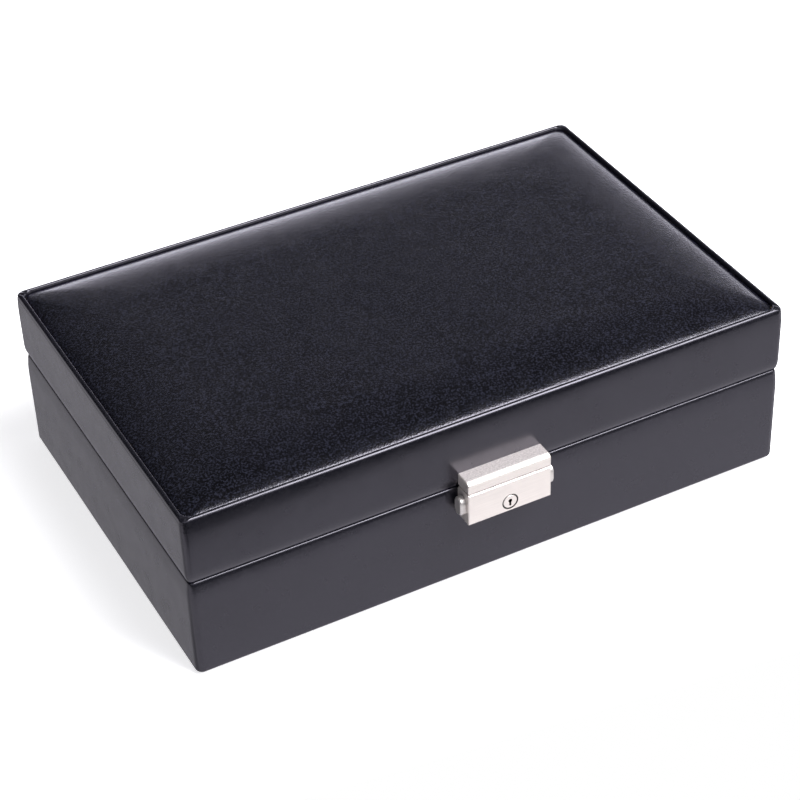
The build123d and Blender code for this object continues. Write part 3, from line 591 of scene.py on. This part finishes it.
def lid_profile():
    """From the turned edge at the seam, up the wall, over the rim and back inside the boards."""
    edge_z = lid_low + SEAM_RAISE
    wall = leaning_wall([
        (edge_z + SEAM_ROUND, SEAM_LEAN), (edge_z + 0.6 * MM, -28), (edge_z + 1.2 * MM, -16),
        (edge_z + 3 * MM, -6), (edge_z + 5 * MM, 0),
        (rim_top - 10 * MM, 0), (rim_top - 7 * MM, 1), (rim_top - 5 * MM, 2.2),
        (rim_top - 3.5 * MM, 3.2), (rim_top - 2.2 * MM, 5), (rim_top - RIM_ROLL, RIM_LEAN),
    ])
    seam_edge = rolled(wall[0], SEAM_ROUND, SEAM_LEAN, -90, 4)[::-1]
    rim_edge = rolled(wall[-1], RIM_ROUND, RIM_LEAN, 90, 11)
    rim_inner = rim_edge[-1][0] - RIM_FLAT
    groove_z = rim_top - PANEL_SEAT
    turned = -WALL - LID_TURN_IN
    liner_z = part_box("lid_liner")[0].z
    return (
        [(turned, edge_z)]
        + run((turned, edge_z), seam_edge[0], 6)
        + seam_edge + wall[1:-1] + rim_edge
        + arc((rim_inner, rim_top - RIM_FALL), (-(RIM_WIDTH + rim_inner), RIM_FALL), 90, 0, 10)
        + run((-RIM_WIDTH, rim_top - RIM_FALL), (-RIM_WIDTH, groove_z), 3)
        + [
            (-RIM_WIDTH, groove_z), (-RIM_WIDTH + LEATHER, groove_z),
            (-RIM_WIDTH + LEATHER, rim_top - LEATHER), (-LEATHER, rim_top - LEATHER),
            (-LEATHER, lid_low + LEATHER), (-WALL, lid_low + LEATHER), (-WALL, liner_z),
            (turned, liner_z),
        ]
    )


def lid_corner(offset, height):
    """Upright edges: rounder towards the panel, sharp inside the boards."""
    if height > rim_top - PANEL_SEAT - 0.01 * MM:
        return CORNER + (PANEL_CORNER - CORNER) * min(1.0, -offset / RIM_WIDTH)
    return CORNER + offset


def lid_shape(place, normal, turn):
    """Unevenness, the crease under the rim at both ends, and the folds at the rim's corners."""
    move = leather_lumps(place, normal, turn)
    drop = rim_top - place.z
    outwards = Vector((normal[0], normal[1], 0))
    outside = lid_half[0] - abs(place.x) < OUTER_BAND or lid_half[1] - abs(place.y) < OUTER_BAND
    if abs(normal[0]) > END_FACING and drop < CREASE_ZONE and outside:
        move -= outwards * CREASE_DEPTH * math.exp(-((drop - CREASE_DROP) / CREASE_WIDTH) ** 2)
    if turn is not None and drop < GATHER_ZONE and outside:
        fade = (1 - drop / GATHER_ZONE) * math.sin(math.pi * turn)
        folds = sum(math.exp(-((turn - middle) / FOLD_WIDTH) ** 2) for middle in FOLD_PLACES)
        move += outwards * GATHER * fade
        if drop < FOLD_ZONE:
            move.z -= FOLD_DEPTH * folds * (1 - drop / FOLD_ZONE)
    return move


lid_cover = leather_cover("lid_cover", "lid", lid_half, lid_profile(), lid_corner, lid_shape, lid_low)
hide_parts("lid_leather")

base_box_low, base_box_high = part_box("base_leather")
base_half = (base_box_high.x, base_box_high.y)
base_low, base_top = base_box_low.z, base_box_high.z


def base_profile():
    """From the turn-in under the floor, up the wall and over the boards' tops."""
    wall = [(offset + BASE_SWELL, height) for offset, height in leaning_wall([
        (base_low + FOOT_ROUND, 0), (base_low + 6 * MM, 0),
        (base_top - 10 * MM, 0), (base_top - 7.3 * MM, 2), (base_top - 6 * MM, 3.5),
        (base_top - 5 * MM, 5), (base_top - 3.9 * MM, 7), (base_top - 2 * MM, 8),
        (base_top - TOP_ROLL, TOP_LEAN),
    ])]
    foot_edge = rolled(wall[0], FOOT_ROUND, 0, -90, 7)[::-1]
    top_edge = rolled(wall[-1], TOP_ROUND, TOP_LEAN, 90, 9)
    return (
        [(-FLOOR_TURN_IN, base_low)]
        + run((-FLOOR_TURN_IN, base_low), (BASE_SWELL - FOOT_ROUND, base_low), 5)
        + foot_edge + wall[1:-1] + top_edge
        + run(top_edge[-1], (-WALL, base_top), 5)
        + [
            (-WALL, base_top), (-WALL, base_top - LEATHER), (-LEATHER, base_top - LEATHER),
            (-LEATHER, base_low + LEATHER), (-FLOOR_TURN_IN, base_low + LEATHER),
        ]
    )


def base_corner(offset, height):
    return CORNER + offset


base_cover = leather_cover(
    "base_cover", "base", base_half, base_profile(), base_corner, leather_lumps, base_top
)
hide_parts("base_leather")


# ---------------------------------------------------------------- padded panel and padded lining
PAD_SPACING = 2.5 * MM           # stations along a pad's sides
PAD_CORNER_STEPS = 16
PAD_SHARP = 70                   # degrees
ROLL_STEPS, ROLL_CROWDING = 44, 1.15     # sections of the roll, which crowd towards the edge
MIDDLE_STEPS = 20                # sections from the roll's end to the middle
MIDDLE_LEFT = 1.5 * MM           # what the last section leaves on each side of the long middle line
CORNER_GROWTH = 0.55             # a section's corners grow by this share of its inset
LEAST_STRAIGHT = 0.5 * MM        # half of a section's ends that stays straight at least
BACK_POINTS = 3                  # first points of a pad's profile, at or next to its back
PAD_LUMPS = 28                   # per metre


def pad_profile(half_y, edge_z, back_z, rise_height, shoulder, card, rise):
    """Points of (outward offset, height), from the back round the edge to the middle."""
    profile = [(-LEATHER, edge_z), (-LEATHER, back_z), (0, back_z)] if card else [(0, back_z)]
    profile += run((0, back_z), (0, edge_z), 3)
    for i in range(ROLL_STEPS + 1):
        angle = math.radians(90 * (i / ROLL_STEPS) ** ROLL_CROWDING)
        profile.append((-shoulder * (1 - math.cos(angle)), edge_z + rise_height * math.sin(angle) ** rise))
    inset, top = -profile[-1][0], profile[-1][1]
    rest = half_y - inset - MIDDLE_LEFT
    return profile + [(-inset - rest * i / MIDDLE_STEPS, top) for i in range(1, MIDDLE_STEPS + 1)]


def pad(name, node, up, edge, corner, shoulder, card, finish, dome, lumps, rise):
    """Padded sheet in the lid that rolls off to its edge along a quarter of an ellipse.

    up is 1 or -1 for the side that bulges, and edge the sheet's thickness at its edge. card leaves
    room for a card behind the padding. dome is the part of the crown that spreads over the whole
    sheet, and rise tightens the roll.
    """
    low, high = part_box(node)
    half = (high.x, high.y)
    back_z, crest_z = (low.z, high.z) if up > 0 else (high.z, low.z)
    edge_z = back_z + up * edge
    crown = up * (crest_z - edge_z)
    profile = pad_profile(half[1], edge_z, back_z, up * (crown - dome), shoulder, card, rise)

    bm = bmesh.new()
    along_x, along_y = even(2 * half[0] / PAD_SPACING), even(2 * half[1] / PAD_SPACING)
    rows = []
    for index, (offset, height) in enumerate(profile):
        padded = index >= BACK_POINTS
        depth = min(1.0, max(0.0, -offset / shoulder)) if padded else 0.0
        radius = corner - CORNER_GROWTH * offset if padded else corner + offset
        radius = min(radius, half[1] + offset - LEAST_STRAIGHT)
        row = []
        for x, y, normal, turn in ring(
            half[0] + offset, half[1] + offset, radius, along_x, along_y, PAD_CORNER_STEPS
        ):
            swell = (1 - (x / half[0]) ** 2) * (1 - (y / half[1]) ** 2)
            lump = noise.noise(Vector((x, y, 0)) * PAD_LUMPS)
            row.append(bm.verts.new((x, y, height + up * depth * (dome * swell + lumps * lump))))
        rows.append(row)
    link_rows(bm, rows)
    cap(bm, rows[-1])
    cap(bm, rows[0])
    bmesh.ops.remove_doubles(bm, verts=bm.verts, dist=MERGE)
    return new_object(name, bm, finish, "lid", PAD_SHARP)


panel_pad = pad(
    "panel_pad", "panel_leather", up=1, edge=PANEL_CARD, corner=PANEL_CORNER, shoulder=PANEL_SHOULDER,
    card=True, finish=PANEL_LEATHER, dome=0.5 * MM, lumps=0.12 * MM, rise=1.35,
)
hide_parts("panel_leather", "panel_foam")

inner_pad = pad(
    "inner_pad", "lid_inner_pad", up=-1, edge=LINING_EDGE, corner=LINING_CORNER, shoulder=LINING_SHOULDER,
    card=False, finish=SUEDE, dome=0.3 * MM, lumps=0.15 * MM, rise=1.0,
)
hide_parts("lid_inner_pad")


# ---------------------------------------------------------------- springs of the buttons, copied from their CAD parts
def button_spring(side):
    """The spring between a button's slider and the lock body, which holds its inner end."""
    node = f"button_spring_{side}"
    spring = bpy.data.objects.new(f"spring_{side}", frame["nodes"][node].data.copy())
    bpy.context.scene.collection.objects.link(spring)
    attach(spring, "base")
    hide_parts(node)
    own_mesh(spring)


button_spring("left")
button_spring("right")


# ---------------------------------------------------------------- floor
FLOOR_DROP = 0.05 * MM
FLOOR_BACK, FLOOR_SIDE = 1.6, 1.3
FLOOR_FRONT, FLOOR_SKEW = -0.174, -0.13      # the sheet's front edge: y at the middle, and its slope
FLOOR_GLOW = 0.7                             # keeps the sheet white for the camera, with a soft shadow
MIRRORED_FLOOR = (0.97, 0.945, 1.01, 1)      # the sheet as the leather and the metal mirror it
MIRRORED_POOL_FRONT, FRONT_FADE = 1.12, (-0.0855, -0.080)     # painted pool of light in front: level, and fade along Y
MIRRORED_LEFT, MIRRORED_SHADOW_CLOSE = 0.66, 0.50               # painted shade on the left: level, and level of the painted shadow next to the box
LEFT_FADE = (-0.163, -0.146)                             # and the fade between them, along X


def floor_material():
    """White paper. Where glossy surfaces mirror it, it glows with painted light and shade of its own: a
    painted pool of light in front, painted shade on the left and a deeper painted shadow next to the box.
    """
    made, nodes, links = material("floor_white")
    shader = nodes["Principled BSDF"]
    shader.inputs["Base Color"].default_value = (0.82, 0.82, 0.83, 1)
    shader.inputs["Roughness"].default_value = 0.9
    shader.inputs["Emission Color"].default_value = (1, 1, 1, 1)
    rays = nodes.new("ShaderNodeLightPath")
    glow = combined(nodes, links, "MULTIPLY", rays.outputs["Is Camera Ray"], FLOOR_GLOW)
    links.new(glow, shader.inputs["Emission Strength"])
    spot = parted(nodes, links, nodes.new("ShaderNodeTexCoord").outputs["Object"])
    # painted shade on the left, deepest as a painted shadow next to the box
    left_painted_shade = mapped(nodes, links, spot["X"], MIRRORED_LEFT, MIRRORED_SHADOW_CLOSE, *LEFT_FADE)
    # painted pool of light in front
    in_front = mapped(nodes, links, spot["Y"], MIRRORED_POOL_FRONT, 0, *FRONT_FADE)
    mirrored = nodes.new("ShaderNodeEmission")
    mirrored.inputs["Color"].default_value = MIRRORED_FLOOR
    links.new(combined(nodes, links, "MAXIMUM", left_painted_shade, in_front), mirrored.inputs["Strength"])
    either = nodes.new("ShaderNodeMixShader")
    links.new(rays.outputs["Is Glossy Ray"], either.inputs["Fac"])
    links.new(shader.outputs[0], either.inputs[1])
    links.new(mirrored.outputs[0], either.inputs[2])
    links.new(either.outputs[0], nodes["Material Output"].inputs["Surface"])
    return made


def lay_floor():
    bm = bmesh.new()
    corners = (
        (-FLOOR_SIDE, FLOOR_FRONT - FLOOR_SIDE * FLOOR_SKEW),
        (FLOOR_SIDE, FLOOR_FRONT + FLOOR_SIDE * FLOOR_SKEW),
        (FLOOR_SIDE, FLOOR_BACK), (-FLOOR_SIDE, FLOOR_BACK),
    )
    bm.faces.new([bm.verts.new((x, y, -FLOOR_DROP)) for x, y in corners])
    mesh = bpy.data.meshes.new("floor")
    bm.to_mesh(mesh)
    bm.free()
    mesh.materials.append(floor_material())
    floor = bpy.data.objects.new("floor", mesh)
    bpy.context.scene.collection.objects.link(floor)


lay_floor()


# ---------------------------------------------------------------- studio
WALL_LIGHT = (                   # level of the pale wall by the sine of the height above the horizon
    (0.08, 4.6), (0.18, 1.9), (0.28, 0.55), (0.40, 0.24), (0.60, 0.13), (0.71, 0.05), (0.83, 0.02),
)
WALL_FROM_LEFT, WALL_FROM_FRONT = (-0.25, 0.12), (-0.10, 0.25)   # X and Y over which the wall fades in
FRONT_LIGHT = 0.8
FRONT_TO_BACK, FRONT_FROM_BELOW = (-0.45, -0.20), (0.02, 0.22)   # Y over which it ends, Z where it starts
ROOM_DARK = 0.03
ROOM_TINT = (0.97, 0.955, 1.06)
KEY_PLACE, KEY_SIZE, KEY_POWER = Vector((0.46, -0.56, 1.08)), 0.8, 32


def light_room():
    """A pale wall behind on the right that fades upwards, a weaker light in front, dark elsewhere.

    The camera itself sees plain white.
    """
    world = bpy.data.worlds.new("studio")
    bpy.context.scene.world = world
    world.use_nodes = True
    nodes, links = world.node_tree.nodes, world.node_tree.links
    background = nodes["Background"]
    direction = parted(nodes, links, nodes.new("ShaderNodeTexCoord").outputs["Generated"])
    fade = nodes.new("ShaderNodeValToRGB")
    links.new(direction["Z"], fade.inputs["Fac"])
    brightest = WALL_LIGHT[0][1]
    stops = fade.color_ramp.elements
    while len(stops) < len(WALL_LIGHT):
        stops.new(1.0)
    for stop, (sine, level) in zip(stops, WALL_LIGHT):
        stop.position = sine
        stop.color = (level / brightest,) * 3 + (1,)
    on_right = mapped(nodes, links, direction["X"], 0, 1, *WALL_FROM_LEFT)
    behind = mapped(nodes, links, direction["Y"], 0, 1, *WALL_FROM_FRONT)
    wall_place = combined(nodes, links, "MULTIPLY", on_right, behind)
    wall_fade = combined(nodes, links, "MULTIPLY", fade.outputs["Color"], brightest)
    wall = combined(nodes, links, "MULTIPLY", wall_fade, wall_place)
    in_front = mapped(nodes, links, direction["Y"], 1, 0, *FRONT_TO_BACK)
    above_edge = mapped(nodes, links, direction["Z"], 0, 1, *FRONT_FROM_BELOW)
    front_place = combined(nodes, links, "MULTIPLY", in_front, above_edge)
    front = combined(nodes, links, "MULTIPLY", front_place, FRONT_LIGHT)
    lit = combined(nodes, links, "MAXIMUM", wall, front)
    room = combined(nodes, links, "MAXIMUM", lit, ROOM_DARK)
    by_camera = nodes.new("ShaderNodeLightPath").outputs["Is Camera Ray"]
    seen = nodes.new("ShaderNodeMix")
    links.new(by_camera, seen.inputs["Factor"])
    links.new(room, seen.inputs["A"])
    seen.inputs["B"].default_value = 1.0
    links.new(seen.outputs["Result"], background.inputs["Strength"])
    links.new(blended(nodes, links, by_camera, ROOM_TINT, (1, 1, 1)), background.inputs["Color"])


def hang_key_light():
    """A square softbox that faces the box."""
    lamp = bpy.data.lights.new("key", "AREA")
    lamp.shape = "RECTANGLE"
    lamp.size = lamp.size_y = KEY_SIZE
    lamp.energy = KEY_POWER
    holder = bpy.data.objects.new("key", lamp)
    holder.location = KEY_PLACE
    holder.rotation_euler = KEY_PLACE.to_track_quat("Z", "Y").to_euler()
    bpy.context.scene.collection.objects.link(holder)


light_room()
hang_key_light()


# ---------------------------------------------------------------- camera
CAMERA_AIM = Vector((0.00993, 0.01810, 0.00897))
CAMERA_AZIMUTH, CAMERA_ELEVATION, CAMERA_ROLL = -26.624, 37.312, -2.340      # degrees
CAMERA_DISTANCE = 0.9760
CAMERA_LENS, CAMERA_SENSOR = 103.53, 36      # mm
CAMERA_CLIP = 0.05


def place_camera():
    azimuth, elevation = math.radians(CAMERA_AZIMUTH), math.radians(CAMERA_ELEVATION)
    back = Vector((
        math.sin(azimuth) * math.cos(elevation), -math.cos(azimuth) * math.cos(elevation),
        math.sin(elevation),
    ))
    level_right = Vector((0, 0, 1)).cross(back).normalized()
    level_up = back.cross(level_right)
    roll = Matrix.Rotation(math.radians(CAMERA_ROLL), 3, back)
    right, up = roll @ level_right, roll @ level_up
    data = bpy.data.cameras.new("camera")
    data.lens = CAMERA_LENS
    data.sensor_width = CAMERA_SENSOR
    data.clip_start = CAMERA_CLIP
    camera = bpy.data.objects.new("camera", data)
    camera.matrix_world = Matrix((
        (right.x, up.x, back.x, 0), (right.y, up.y, back.y, 0), (right.z, up.z, back.z, 0), (0, 0, 0, 1)
    ))
    camera.location = CAMERA_AIM + back * CAMERA_DISTANCE
    bpy.context.scene.collection.objects.link(camera)
    bpy.context.scene.camera = camera


place_camera()
bpy.context.scene.view_settings.view_transform = "Standard"
